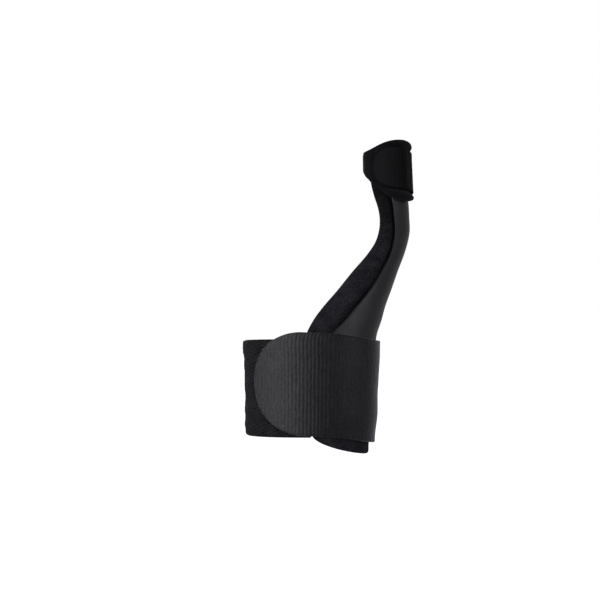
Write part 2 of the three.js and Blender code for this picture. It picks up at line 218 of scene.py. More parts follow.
def section_at(height):
    """The limb's section at a height: its centre, half sizes and squareness, and the edges on it."""
    height = np.asarray(height, float)
    row = section_columns(np.where(height < 0, height / FALL, height / RISE))
    return {
        "x": row["reach"] * THUMB_REACH,
        "y": row["drop"] * THUMB_DROP,
        "half_width": lerp(WRIST_WIDTH, THUMB_WIDTH, row["slim"]) / 2,
        "half_depth": lerp(WRIST_DEPTH, THUMB_DEPTH, row["thin"]) / 2,
        "power": lerp(WRIST_SQUARENESS, 2.0, np.clip(row["slim"], 0, 1)),
        "pad": row["pad"],
        "shell": row["shell"],
    }


def over(height, turn, lift):
    """Points over the limb, at a lift off the skin, square to the section."""
    height, turn, lift = np.broadcast_arrays(height, turn, lift)
    s = section_at(height)
    cos, sin = np.cos(np.radians(turn)), np.sin(np.radians(turn))
    across = np.sign(cos) * np.abs(cos) ** (2 / s["power"])
    along = np.sign(sin) * np.abs(sin) ** (2 / s["power"])
    nx = np.sign(cos) * np.abs(across) ** (s["power"] - 1) / s["half_width"]
    ny = np.sign(sin) * np.abs(along) ** (s["power"] - 1) / s["half_depth"]
    size = np.hypot(nx, ny)
    x = s["x"] + s["half_width"] * across + lift * nx / size
    y = s["y"] - s["half_depth"] * along - lift * ny / size
    return np.stack([x, y, np.asarray(height, float)], -1)


def pad_thickness(height):
    return lerp(PAD_THICKNESS, PAD_THICKNESS_AT_THUMB, smoothstep(height, ROLL_START, ROLL_END))


def thumb_band_top(turn):
    return RISE - THUMB_BAND_WIDTH * thumb_band_columns(turn)["top"]


def thumb_band_foot(turn):
    return RISE - THUMB_BAND_WIDTH * (1 - thumb_band_columns(turn)["foot"])


def wrist_strap_middle(turn):
    """The height of the wrist strap's middle line, which sags on the thumb side and less on the palm side."""
    sin = np.sin(np.radians(np.clip(turn, -90, 90)))
    sag = lerp(WRIST_STRAP_SAG, np.where(turn > 0, 0.0, WRIST_STRAP_PALM_SAG), sin**2)
    return WRIST_STRAP_RISE - sag + WRIST_TAB_RISE * smoothstep(turn, *WRIST_TAB_RISE_TURNS)


WRIST_PATCH_END = float(section_at(WRIST_STRAP_TOP)["shell"]) + WRIST_PATCH_STAND_OFF
ON_BAND = max(PAD_THICKNESS, BAND_THICKNESS) + LAYER_GAP


def under_wrist_strap(height, turn):
    """How far off the skin the wrist strap lies: on the pad or band, then on the patch or the shell."""
    beside = section_at(height)["shell"] + SHELL_STEP_CLEARANCE
    slope = np.where(turn > 0, SHELL_SLOPE_TURN, SHELL_STEP_TURN)
    on_shell = smoothstep(height, -SHELL_FOOT - SHELL_STEP_FALL, -SHELL_FOOT)
    over_shell = 1 - smoothstep(np.abs(turn), beside, beside + slope)
    over_shell = over_shell * lerp(STRAP_BRIDGE_SHARE, 1, on_shell)
    patch_step = WRIST_PATCH_END - PATCH_STEP_TURN * np.array([2, 0.5])
    patch_lift = (WRIST_PATCH_THICKNESS + LAYER_GAP) * smoothstep(turn, *patch_step)
    lift = lerp(patch_lift, SHELL_THICKNESS + LAYER_GAP, over_shell)
    bulge = STRAP_SIDE_BULGE * smoothstep(np.cos(np.radians(turn)), 0, 1)
    return ON_BAND + lift + bulge


def under_thumb_band(height, turn):
    """How far off the skin the thumb band lies: on the pad and the shell, and on neither in the web."""
    s = section_at(np.maximum(height, RISE - THUMB_BAND_WIDTH))
    beside = s["shell"] + THUMB_STEP_CLEARANCE
    over_pad = 1 - smoothstep(np.abs(turn), np.maximum(s["pad"], WEB_START), WEB_END)
    over_shell = 1 - smoothstep(np.abs(turn), beside, beside + THUMB_STEP_TURN)
    pad_lift = (PAD_THICKNESS_AT_THUMB + LAYER_GAP) * over_pad
    return SKIN_GAP + pad_lift + (SHELL_THICKNESS + LAYER_GAP) * over_shell


def thumb_strap_middle(turn):
    """The height of the thumb strap's middle line, which tilts with the thumb."""
    tilt = THUMB_STRAP_TILT * np.sin(np.radians(turn))
    return RISE - THUMB_BAND_WIDTH * THUMB_STRAP_PLACE + tilt


def thumb_lip(height, turn):
    """How much the thumb band swells beyond the edges of the strap that presses on it."""
    beyond = np.abs(height - thumb_strap_middle(turn)) - THUMB_STRAP_WIDTH / 2
    return THUMB_LIP_SWELL * smoothstep(beyond, LAYER_GAP, LAYER_GAP + THUMB_LIP_RUN)


def on_thumb_band(height, turn):
    return under_thumb_band(height, turn) + THUMB_BAND_THICKNESS + LAYER_GAP


def under_thumb_strap(height, turn):
    patch_start = THUMB_PATCH_END - 2 * PATCH_STEP_TURN
    over_patch = smoothstep(turn, patch_start, THUMB_PATCH_END - THUMB_PATCH_SEAT)
    return on_thumb_band(height, turn) + (THUMB_PATCH_THICKNESS + LAYER_GAP) * over_patch


# Places, edges and small relief


def places(length, step, rim, rim_steps=5):
    """Places from 0 to 1 along a length, close together within a rim at each end."""
    angles = np.linspace(0, math.pi / 2, rim_steps, endpoint=False)
    near = rim * (1 - np.cos(angles)) / length
    count = max(2, round((length - 2 * rim) / step))
    inner = np.linspace(rim / length, 1 - rim / length, count + 1)
    return np.concatenate([near, inner, 1 - near[::-1]])


def round_edge(distance, radius):
    """From 0 at an edge to 1 at a radius in from it, along a quarter circle."""
    inwards = np.clip(distance / radius, 0, 1)
    return np.sqrt(1 - (1 - inwards) ** 2)


# How far the noise is shifted along X, Y and Z for each seed.
SEED_STEPS = (17.3, 5.1, 9.7)


def relief(points, size, seed):
    """Smooth noise from about -1 to 1 at each point, with features of a size in millimetres."""
    shift = Vector([seed * step for step in SEED_STEPS])
    found = [noise.noise(Vector(point) + shift) for point in points.reshape(-1, 3) / size]
    return np.array(found).reshape(points.shape[:-1])


# Meshes


def sheet_mesh(name, inner, outer, along, up, wraps=False):
    """A closed sheet between two grids of points, with a map of its weave in millimetres."""
    rows, cols = outer.shape[:2]
    points = np.concatenate([inner.reshape(-1, 3), outer.reshape(-1, 3)]) * MM
    grid = np.arange(rows * cols).reshape(rows, cols)
    if wraps:
        grid = np.concatenate([grid, grid[:, :1]], 1)
    lift = rows * cols
    a, b, c, d = grid[:-1, :-1], grid[:-1, 1:], grid[1:, 1:], grid[1:, :-1]
    faces = [np.stack([a + lift, b + lift, c + lift, d + lift], -1).reshape(-1, 4)]
    faces.append(np.stack([a, d, c, b], -1).reshape(-1, 4))
    low, high = grid[0], grid[-1]
    faces.append(np.stack([low[:-1], low[1:], low[1:] + lift, low[:-1] + lift], -1))
    faces.append(np.stack([high[:-1] + lift, high[1:] + lift, high[1:], high[:-1]], -1))
    if not wraps:
        left, right = grid[:, 0], grid[:, -1]
        faces.append(np.stack([left[:-1], left[:-1] + lift, left[1:] + lift, left[1:]], -1))
        faces.append(np.stack([right[:-1] + lift, right[:-1], right[1:], right[1:] + lift], -1))
    faces = np.concatenate(faces)
    mesh = bpy.data.meshes.new(name)
    mesh.from_pydata(points.tolist(), [], faces.tolist())
    weave = np.stack([along.reshape(-1), up.reshape(-1)], -1)
    weave = np.concatenate([weave, weave])
    layer = mesh.uv_layers.new(name="weave")
    layer.uv.foreach_set("vector", weave[faces.reshape(-1)].astype(np.float32).reshape(-1))
    mesh.shade_smooth()
    mesh.update()
    obj = bpy.data.objects.new(name, mesh)
    bpy.context.scene.collection.objects.link(obj)
    return obj


def soft_sheet(name, height, turn, base, thickness, edge, softness, along, up, wraps=False, swelling=None):
    """A sheet with round edges: base is its lift off the skin, and edge the distance to its rim."""
    round_part = round_edge(edge, softness)
    outer = over(height, turn, base + thickness * (0.5 + 0.5 * round_part))
    inner = over(height, turn, base + thickness * (0.5 - 0.5 * round_part))
    if swelling:
        outer = swell(outer, wraps=wraps, **swelling)
    return sheet_mesh(name, inner, outer, along, up, wraps)


def skin_lengths(turns, height, lift):
    """The length along the skin to each turn, from the first, at one height."""
    points = over(height, turns, lift)
    steps = np.linalg.norm(np.diff(points, axis=0), axis=1)
    return np.concatenate([[0], np.cumsum(steps)])


# How finely a strap is laid out: the turns tried along it, and the columns round its tip, which take up a
# few steps of its length from a first small angle. Its start has small round corners, for this script alone.
STRAP_TURNS = 1200
TIP_COLUMNS = 14
TIP_STEPS = 6
TIP_FIRST_ANGLE = 0.02
START_CORNER = 3.0


class Strap:
    """A flat strap round the limb, with a round tab: its lengths from the tip, turns and half widths.

    middle is the height of its middle line at a turn, and lift_at its lift off the skin. A patch is a strap
    too, with an inset from the strap that it is under.
    """

    def __init__(self, tip, start, radius, middle, lift_at, step, inset=0.0):
        self.middle = middle
        self.fine = np.linspace(tip, start, STRAP_TURNS)
        tip_height = float(middle(tip))
        self.lengths = skin_lengths(self.fine, tip_height, float(lift_at(tip_height, tip)))
        self.total = self.lengths[-1]
        self.radius = radius - inset
        tip_angle = math.acos(1 - min(1, step * TIP_STEPS / self.radius))
        tip_run = self.radius * (1 - np.cos(np.linspace(TIP_FIRST_ANGLE, tip_angle, TIP_COLUMNS)))
        count = round((self.total - inset - tip_run[-1]) / step)
        rest = np.linspace(tip_run[-1], self.total - inset, count + 1)[1:]
        self.along = np.concatenate([tip_run, rest])
        self.turn = np.interp(self.along + inset, self.lengths, self.fine)
        cut = START_CORNER - np.sqrt(np.maximum(0, START_CORNER**2 - self.into_corner(self.along) ** 2))
        self.half = np.sqrt(self.radius**2 - self.into_tab(self.along) ** 2) - cut

    def into_tab(self, along):
        """How far a place lies into the round tab."""
        return np.clip(self.radius - along, 0, None)

    def into_corner(self, along):
        """How far a place lies into the run of the start's round corners."""
        return np.clip(START_CORNER - (self.along[-1] - along), 0, None)

    def cover(self, height, turn):
        """How far inside the strap's outline a place is, or how far outside it, below zero."""
        tip, start = self.fine[0], self.fine[-1]
        past_tip = np.radians(np.clip(turn - tip, 0, None)) * WRIST_WIDTH / 2
        past_start = np.radians(np.clip(start - turn, 0, None)) * WRIST_WIDTH / 2
        along = np.where(turn > tip, -past_tip, np.interp(-turn, -self.fine, self.lengths))
        inside = self.radius - np.hypot(self.into_tab(along), height - self.middle(turn))
        return np.where(past_start > 0, np.minimum(inside, -past_start), inside)

    def grid(self, row_step, softness):
        """The strap's grid: its heights, turns, places along and across it, and distances to its rim."""
        rows = places(2 * self.radius, row_step, softness)
        across = lerp(-1.0, 1.0, rows)[:, None] * self.half[None, :]
        turn = np.broadcast_to(self.turn, across.shape)
        along = np.broadcast_to(self.along, across.shape)
        height = self.middle(turn) + across
        edge = self.radius - np.hypot(self.into_tab(along), across)
        edge = np.minimum(edge, self.along[-1] - along)
        at_start = self.into_corner(along)
        at_side = np.clip(START_CORNER - (self.radius - np.abs(across)), 0, None)
        in_corner = (at_start > 0) & (at_side > 0)
        edge = np.where(in_corner, START_CORNER - np.hypot(at_start, at_side), edge)
        return height, turn, along, across, edge


# A short cloth simulation

SIM_SCALE = 0.1
SIM_FRAMES = 16
SIM_PRESSURE = 6.0
SIM_SMOOTHING = 5
PIN_LEVELS = 20


def swell(points, free, growth, cap, wraps=False):
    """Lets a grid of cloth swell and buckle where it is free, under a soft pressure, and returns the grid.

    The cloth is simulated 100 times its size, so that a millimetre is a tenth of a metre. It is pinned where
    free is 0, and grows by a share of its size. What moved is smoothed, and no point moves more than the cap.
    """
    scene = bpy.context.scene
    rows, cols = points.shape[:2]
    grid = np.arange(rows * cols).reshape(rows, cols)
    if wraps:
        grid = np.concatenate([grid, grid[:, :1]], 1)
    faces = np.stack([grid[:-1, :-1], grid[:-1, 1:], grid[1:, 1:], grid[1:, :-1]], -1).reshape(-1, 4)
    mesh = bpy.data.meshes.new("swelling")
    mesh.from_pydata((points.reshape(-1, 3) * SIM_SCALE).tolist(), [], faces.tolist())
    obj = bpy.data.objects.new("swelling", mesh)
    scene.collection.objects.link(obj)
    group = obj.vertex_groups.new(name="pinned")
    pinned = np.round((1 - free.reshape(-1)) * PIN_LEVELS) / PIN_LEVELS
    for level in np.unique(pinned):
        group.add(np.nonzero(pinned == level)[0].tolist(), float(level), "REPLACE")
    cloth = obj.modifiers.new("cloth", "CLOTH")
    settings = cloth.settings
    settings.quality = 4
    settings.mass = 0.3
    settings.tension_stiffness = 12
    settings.compression_stiffness = 12
    settings.shear_stiffness = 6
    settings.bending_stiffness = 0.6
    settings.vertex_group_mass = "pinned"
    settings.use_pressure = True
    settings.uniform_pressure_force = SIM_PRESSURE
    settings.shrink_min = -growth
    settings.effector_weights.gravity = 0
    cloth.point_cache.frame_start = 1
    cloth.point_cache.frame_end = SIM_FRAMES
    for time in range(1, SIM_FRAMES + 1):
        scene.frame_set(time)
    evaluated = obj.evaluated_get(bpy.context.evaluated_depsgraph_get())
    found = np.empty(rows * cols * 3, np.float32)
    evaluated.data.vertices.foreach_get("co", found)
    moved = found.reshape(rows, cols, 3) / SIM_SCALE - points
    for _ in range(SIM_SMOOTHING):
        moved[1:-1] = (moved[:-2] + 2 * moved[1:-1] + moved[2:]) / 4
        moved[:, 1:-1] = (moved[:, :-2] + 2 * moved[:, 1:-1] + moved[:, 2:]) / 4
    length = np.linalg.norm(moved, axis=-1, keepdims=True)
    limit = cap * free[..., None]
    bpy.data.objects.remove(obj)
    bpy.data.meshes.remove(mesh)
    scene.frame_set(1)
    return points + moved * np.minimum(1, limit / np.maximum(length, 1e-9))


# Materials


def new_material(name):
    material = bpy.data.materials.new(name)
    material.use_nodes = True
    tree = material.node_tree
    shader = tree.nodes["Principled BSDF"]
    return material, tree, shader


def add(tree, kind, **inputs):
    """A node of a kind, with values or links on its named inputs."""
    node = tree.nodes.new(kind)
    for name, value in inputs.items():
        socket = node.inputs[name.replace("_", " ")]
        if isinstance(value, bpy.types.NodeSocket):
            tree.links.new(value, socket)
        else:
            socket.default_value = value
    return node


def maths(tree, operation, first, second=None):
    node = tree.nodes.new("ShaderNodeMath")
    node.operation = operation
    for socket, value in zip(node.inputs, (first, second)):
        if isinstance(value, bpy.types.NodeSocket):
            tree.links.new(value, socket)
        elif value is not None:
            socket.default_value = value
    return node.outputs[0]


def weighted(tree, *terms):
    """The sum of several values, each times its weight, which may be a number or another value."""
    total = None
    for value, weight in terms:
        part = maths(tree, "MULTIPLY", value, weight)
        total = part if total is None else maths(tree, "ADD", total, part)
    return total


def wave(tree, value, pitch):
    """A sine wave along a value, with a pitch in the value's own unit."""
    return maths(tree, "SINE", maths(tree, "MULTIPLY", value, 2 * math.pi / pitch))


def object_place(tree):
    return tree.nodes.new("ShaderNodeTexCoord").outputs["Object"]


def weave_place(tree):
    """The place along a piece's weave and up it, in millimetres."""
    weave = tree.nodes.new("ShaderNodeUVMap")
    weave.uv_map = "weave"
    parts = add(tree, "ShaderNodeSeparateXYZ", Vector=weave.outputs["UV"])
    return parts.outputs["X"], parts.outputs["Y"]


def ramp(tree, factor, stops):
    node = add(tree, "ShaderNodeValToRGB", Fac=factor)
    elements = node.color_ramp.elements
    while len(elements) < len(stops):
        elements.new(0.5)
    for element, (place, colour) in zip(elements, stops):
        element.position = place
        element.color = (*colour, 1.0)
    return node.outputs["Color"]


def noise_of(tree, vector, scale, detail=2.0, roughness=0.5):
    node = add(tree, "ShaderNodeTexNoise", Vector=vector, Scale=scale, Detail=detail, Roughness=roughness)
    return node.outputs["Fac"]


def bump_of(tree, height, distance, strength=1.0, below=None):
    node = add(tree, "ShaderNodeBump", Height=height, Distance=distance, Strength=strength)
    if below is not None:
        tree.links.new(below, node.inputs["Normal"])
    return node.outputs["Normal"]


def smooth_range(tree, value, low, high, start, end):
    """A smooth change from start to end as a value goes from low to high."""
    node = tree.nodes.new("ShaderNodeMapRange")
    node.interpolation_type = "SMOOTHSTEP"
    tree.links.new(value, node.inputs["Value"])
    for name, number in (("From Min", low), ("From Max", high), ("To Min", start), ("To Max", end)):
        node.inputs[name].default_value = number
    return node.outputs["Result"]


# The slanting rows of stitches in the wrist band: their pitch in millimetres, their slant and how far they
# wander. The pad's cloth has painted shade: it grows darker by a depth, over a run of heights in metres.
KNIT_PITCH = 1.5
KNIT_SLANT = math.radians(20)
KNIT_WANDER = 1.2
PAINTED_SHADE_RUN = 0.04
PAINTED_SHADE_DEPTH = 0.16


def brushed_cloth(name, dark, pale, sheen, knit=0.0, painted_shade_above=None):
    """Brushed loop cloth: short tangled fibres, mottled where the pile lies different ways.

    knit is how strongly slanting rows of stitches show, and above a height in metres the cloth is painted
    darker, as shade.
    """
    material, tree, shader = new_material(name)
    place = object_place(tree)
    pile = noise_of(tree, place, scale=1400.0, detail=3.0, roughness=0.65)
    patches = noise_of(tree, place, scale=170.0, detail=3.0, roughness=0.6)
    loops = add(tree, "ShaderNodeTexVoronoi", Vector=place, Scale=900.0).outputs["Distance"]
    mottle = weighted(tree, (pile, 0.65), (patches, 0.35))
    if knit:
        along, up = weave_place(tree)
        slant = weighted(
            tree, (up, math.cos(KNIT_SLANT)), (along, -math.sin(KNIT_SLANT)), (patches, KNIT_WANDER)
        )
        rows = wave(tree, slant, KNIT_PITCH)
        mottle = maths(tree, "ADD", mottle, maths(tree, "MULTIPLY", rows, knit))
    # Painted shade: the cloth's colour grows darker above a height.
    if painted_shade_above:
        height = add(tree, "ShaderNodeSeparateXYZ", Vector=place).outputs["Z"]
        start = painted_shade_above - PAINTED_SHADE_RUN / 2
        shade = smooth_range(tree, height, start, start + PAINTED_SHADE_RUN, 0.0, -PAINTED_SHADE_DEPTH)
        mottle = maths(tree, "ADD", mottle, shade)
    colour = ramp(tree, mottle, ((0.36, dark), (0.65, pale)))
    tree.links.new(colour, shader.inputs["Base Color"])
    low = bump_of(tree, patches, distance=0.0008, strength=0.5)
    middle = bump_of(tree, loops, distance=0.0004, strength=0.6, below=low)
    fine = bump_of(tree, pile, distance=0.0005, strength=0.9, below=middle)
    tree.links.new(fine, shader.inputs["Normal"])
    shader.inputs["Roughness"].default_value = 0.95
    shader.inputs["Specular IOR Level"].default_value = 0.15
    shader.inputs["Sheen Weight"].default_value = sheen
    shader.inputs["Sheen Roughness"].default_value = 0.45
    shader.inputs["Sheen Tint"].default_value = (0.75, 0.77, 0.85, 1.0)
    return material


# Woven elastic, in millimetres: the pitch of its weft, how far its ribs wander, how much shorter its streaks
# are along than across, and how long its nap is on the tab and beyond it, the tab's paler nap being partly
# painted light. Then where, and by how much, the strap is painted paler again, as light on its thumb side.
WEFT_PITCH = 0.75
RIB_WANDER = 0.4
STREAK_SHARE = 0.2
TAB_NAP_AND_PAINTED_LIGHT = 1.3
STRAP_NAP = 0.6
PAINTED_LIGHT_RUN = (40.0, 60.0)
PAINTED_LIGHT_LIFT = 0.2


def ribbed_elastic(name, colours, pitch, fades, nap_and_painted_light_run, roughness, sheen, specular, rib_bump=0.0002):
    """Woven elastic: ribs across the strap, each crossed by fine weft, under a short nap.

    colours are those of the grooves, the crests and the nap. fades are places along the strap in millimetres,
    each with how strongly the ribs show there. Over the run after them the tab's longer, paler nap ends; that
    paleness is partly painted light on the tab. Farther on, the strap is painted paler again, as light.
    """
    material, tree, shader = new_material(name)
    place = object_place(tree)
    along, up = weave_place(tree)
    wander = noise_of(tree, place, scale=120.0)
    shifted = maths(tree, "ADD", along, maths(tree, "MULTIPLY", wander, RIB_WANDER))
    rib = maths(tree, "MULTIPLY", wave(tree, shifted, pitch), fades[0][1])
    for (start, before), (end, after) in zip(fades, fades[1:]):
        fade = smooth_range(tree, along, start, end, 1.0, after / before)
        rib = maths(tree, "MULTIPLY", rib, fade)
    weft = wave(tree, up, WEFT_PITCH)
    nap = noise_of(tree, place, scale=1000.0, roughness=0.65)
    worn = noise_of(tree, place, scale=70.0)
    drawn = add(tree, "ShaderNodeCombineXYZ", X=along, Y=maths(tree, "MULTIPLY", up, STREAK_SHARE))
    streaks = noise_of(tree, drawn.outputs["Vector"], scale=1.0, detail=3.0, roughness=0.7)
    # The tab's longer nap makes its colour paler: partly nap, partly painted light where the tab faces the
    # key light.
    tab_nap_and_painted_light = smooth_range(tree, along, *nap_and_painted_light_run, TAB_NAP_AND_PAINTED_LIGHT, STRAP_NAP)
    # Farther along, painted light: the strap's colour is made paler towards its thumb side.
    nap_and_painted_light = maths(tree, "ADD", tab_nap_and_painted_light, smooth_range(tree, along, *PAINTED_LIGHT_RUN, 0.0, PAINTED_LIGHT_LIFT))
    fuzz = weighted(tree, (nap, 0.4), (streaks, 0.6))
    tone = weighted(tree, (rib, 0.09), (fuzz, nap_and_painted_light), (worn, 0.1))
    colour = ramp(tree, tone, tuple(zip((0.28, 0.48, 0.9), colours)))
    tree.links.new(colour, shader.inputs["Base Color"])
    ribs = bump_of(tree, rib, distance=rib_bump, strength=0.35)
    wefts = bump_of(tree, weft, distance=0.00003, strength=0.3, below=ribs)
    threads = bump_of(tree, streaks, distance=0.0005, strength=0.5, below=wefts)
    naps = bump_of(tree, nap, distance=0.0003, strength=0.5, below=threads)
    tree.links.new(naps, shader.inputs["Normal"])
    shader.inputs["Roughness"].default_value = roughness
    shader.inputs["Specular IOR Level"].default_value = specular
    shader.inputs["Sheen Weight"].default_value = sheen
    shader.inputs["Sheen Roughness"].default_value = 0.3
    shader.inputs["Sheen Tint"].default_value = (0.85, 0.85, 0.9, 1.0)
    return material


def satin_sheet(name, dark, pale):
    """The shell's smooth sheet: satin, with faint unevenness from forming and slight rub marks."""
    material, tree, shader = new_material(name)
    place = object_place(tree)
    formed = noise_of(tree, place, scale=28.0)
    grain = noise_of(tree, place, scale=2600.0, roughness=0.6)
    rubbed = noise_of(tree, place, scale=160.0, detail=4.0, roughness=0.6)
    colour = ramp(tree, formed, ((0.35, dark), (0.7, pale)))
    tree.links.new(colour, shader.inputs["Base Color"])
    finish = ramp(tree, rubbed, ((0.3, (0.38, 0.38, 0.38)), (0.75, (0.48, 0.48, 0.48))))
    tree.links.new(finish, shader.inputs["Roughness"])
    waves = bump_of(tree, formed, distance=0.0015, strength=0.25)
    grains = bump_of(tree, grain, distance=0.00008, strength=0.35, below=waves)
    tree.links.new(grains, shader.inputs["Normal"])
    shader.inputs["Specular IOR Level"].default_value = 0.38
    return material


def hook_tape(name):
    """Hook tape: rows of tiny stiff hooks."""
    material, tree, shader = new_material(name)
    hooks = add(tree, "ShaderNodeTexVoronoi", Vector=object_place(tree), Scale=1100.0).outputs["Distance"]
    colour = ramp(tree, hooks, ((0.1, (0.02, 0.02, 0.021)), (0.6, (0.006, 0.006, 0.006))))
    tree.links.new(colour, shader.inputs["Base Color"])
    tree.links.new(bump_of(tree, hooks, distance=0.0004), shader.inputs["Normal"])
    shader.inputs["Roughness"].default_value = 0.6
    return material


WRIST_RIB_PITCH = 1.7
THUMB_RIB_PITCH = 1.5

BRUSHED = brushed_cloth(
    "brushed_cloth",
    dark=(0.004, 0.004, 0.0046),
    pale=(0.032, 0.032, 0.04),
    sheen=0.04,
    # Painted shade on the pad's upper part.
    painted_shade_above=0.073,
)
BAND_CLOTH = brushed_cloth(
    "band_cloth",
    dark=(0.004, 0.004, 0.0045),
    pale=(0.028, 0.028, 0.03),
    sheen=0.03,
    knit=0.06,
)
THUMB_CLOTH = brushed_cloth(
    "thumb_cloth",
    dark=(0.002, 0.002, 0.0022),
    pale=(0.0065, 0.0065, 0.0074),
    sheen=0.1,
)
ELASTIC = ribbed_elastic(
    "strap_elastic",
    colours=((0.005, 0.005, 0.0054), (0.0195, 0.0195, 0.0204), (0.055, 0.055, 0.058)),
    pitch=WRIST_RIB_PITCH,
    fades=((8, 0.35), (26, 1.0), (28, 1.0), (46, 0.05)),
    nap_and_painted_light_run=(18, 34),
    roughness=0.38,
    sheen=0.8,
    specular=0.2,
)
THUMB_ELASTIC = ribbed_elastic(
    "thumb_elastic",
    colours=((0.003, 0.003, 0.003), (0.0085, 0.0085, 0.009), (0.0095, 0.0095, 0.01)),
    pitch=THUMB_RIB_PITCH,
    fades=((0, 1.0), (12, 0.5)),
    nap_and_painted_light_run=(4, 14),
    roughness=0.75,
    sheen=0.07,
    specular=0.08,
    rib_bump=0.0001,
)
SATIN = satin_sheet("shell_sheet", dark=(0.018, 0.018, 0.0185), pale=(0.025, 0.025, 0.0255))
HOOKS = hook_tape("hook_tape")


def dress(obj, node, material):
    """Gives a piece its material, hangs it under the root, and hides the solid that it stands for."""
    obj.data.materials.append(material)
    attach(obj, "root")
    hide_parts(node)


# Pieces

# The pad's bare border, which takes up a share of its way round at each side. It rolls up to a crest, whose
# place is a share of its width, and drops beside the shell. The roll, the crest and the drop have one value
# near the wrist and one near the thumb, which change over between the heights of PAD_CHANGE. The roll starts
# between two heights and ends between two more.
PAD_BORDER_SHARE = 0.28
PAD_BORDER = 10.0
PAD_MIDDLE_COLUMNS = 26
PAD_CHANGE = (42.0, 62.0)
PAD_ROLL = (2.0, 2.5)
PAD_CREST_SHARE = (0.72, 0.95)
PAD_DROP = (2.2, 0.9)
PAD_SLOPE = 1.6
PAD_GROOVE = 0.6
PAD_GROOVE_RUN = 0.7
PAD_ROLL_STARTS = (ROLL_START - 1.5, ROLL_START + 8)
PAD_ROLL_ENDS = (ROLL_END - 1, ROLL_END + 4)


def bare_turn(s):
    """The turn from which the pad is bare, a margin out from the shell's edge, in a section."""
    return s["shell"] + np.degrees(SHELL_MARGIN / s["half_width"])


def pad_foot(turn):
    """The pad's lower edge, which dips below the wrist strap on the thumb side."""
    end = section_at(-FALL)["pad"] * np.where(turn > 0, 1, PALM_PAD_SHARE)
    return -lerp(PAD_HEM, FALL, np.sqrt(np.maximum(0, 1 - (turn / end) ** 2)))


def make_thumb_pad():
    """The padded liner. Its bare border beside the shell rolls up, steepest into the groove at the shell."""
    border = places(PAD_BORDER, step=0.5, rim=2.0, rim_steps=9) * PAD_BORDER_SHARE
    middle = np.linspace(PAD_BORDER_SHARE, 1 - PAD_BORDER_SHARE, PAD_MIDDLE_COLUMNS)[1:-1]
    u = np.concatenate([border, middle, 1 - border[::-1]])[None, :]
    v = places(RISE + FALL, step=0.8, rim=1.4)[:, None]
    u, v = np.broadcast_arrays(u, v)

    def turn_at(height):
        s = section_at(height)
        bare = bare_turn(s)
        near = lerp(s["pad"], bare, u / PAD_BORDER_SHARE)
        far = lerp(-s["pad"] * PALM_PAD_SHARE, -bare, (1 - u) / PAD_BORDER_SHARE)
        under = lerp(bare, -bare, (u - PAD_BORDER_SHARE) / (1 - 2 * PAD_BORDER_SHARE))
        return np.where(u < PAD_BORDER_SHARE, near, np.where(u > 1 - PAD_BORDER_SHARE, far, under))

    top = thumb_band_top(turn_at(RISE)) - PAD_INSET
    height = lerp(pad_foot(turn_at(-FALL)), top, v)
    turn = turn_at(height)
    s = section_at(height)

    edge_turn = np.where(turn > 0, s["pad"], s["pad"] * PALM_PAD_SHARE)
    to_side = np.radians(np.abs(np.abs(turn) - edge_turn)) * s["half_width"]
    to_end = np.minimum(v, 1 - v) * (RISE + FALL)
    edge = np.minimum(to_side, to_end)
    to_shell = np.radians(np.abs(turn) - bare_turn(s)) * s["half_width"]

    upper = smoothstep(height, *PAD_CHANGE)
    share = np.clip(np.minimum(u, 1 - u) / PAD_BORDER_SHARE, 0, 1)
    bare = share < 1
    climb = np.sin(0.5 * np.pi * np.clip(share / lerp(*PAD_CREST_SHARE, upper), 0, 1))
    drop_run = lerp(*PAD_DROP, upper)
    drop = 0.5 * round_edge(to_shell, drop_run) + 0.5 * smoothstep(to_shell, 0, PAD_SLOPE * drop_run)
    thinning = pad_thickness(height) / PAD_THICKNESS
    groove = PAD_GROOVE * thinning * np.exp(-((to_shell / PAD_GROOVE_RUN) ** 4))
    in_roll = smoothstep(height, *PAD_ROLL_STARTS) * (1 - smoothstep(height, *PAD_ROLL_ENDS))
    roll = (lerp(*PAD_ROLL, upper) * climb * drop - groove) * in_roll

    base = over(height, turn, 0)
    soft = 0.14 * relief(base, size=7.0, seed=1) + 0.09 * relief(base, size=1.7, seed=2)
    thickness = pad_thickness(height) + roll + soft * bare * round_edge(edge, 2.0)
    free = round_edge(to_shell, 2.5) * bare * round_edge(edge, 3.0) * in_roll
    along = np.radians(turn) * s["half_width"]
    swelling = {"free": free, "growth": 0.05, "cap": 0.7}
    return soft_sheet(
        "pad_cloth", height, turn, 0.0, thickness, edge, 1.4, along, height, swelling=swelling
    )


SHELL_SOFTNESS = 0.55
SHELL_CORNER_POWER = 8


def make_shell():
    """The half-stiff shell: an even sheet with round corners and a rounded rim."""
    u = places(60, step=1.0, rim=SHELL_SOFTNESS)[None, :]
    v = places(RISE, step=0.9, rim=SHELL_SOFTNESS)[:, None]
    u, v = np.broadcast_arrays(u, v)
    corner = SHELL_CORNER * np.abs(2 * u - 1) ** SHELL_CORNER_POWER
    height = lerp(-SHELL_FOOT + corner, RISE - SHELL_HEAD - corner, v)
    s = section_at(height)
    turn = lerp(s["shell"], -s["shell"], u)
    to_side = np.minimum(u, 1 - u) * 2 * np.radians(s["shell"]) * s["half_width"]
    to_end = np.minimum(v, 1 - v) * (RISE + SHELL_FOOT - SHELL_HEAD)
    base = pad_thickness(height) + LAYER_GAP
    along = np.radians(turn) * s["half_width"]
    edge = np.minimum(to_side, to_end)
    return soft_sheet(
        "shell_sheet", height, turn, base, SHELL_THICKNESS, edge, SHELL_SOFTNESS, along, height
    )


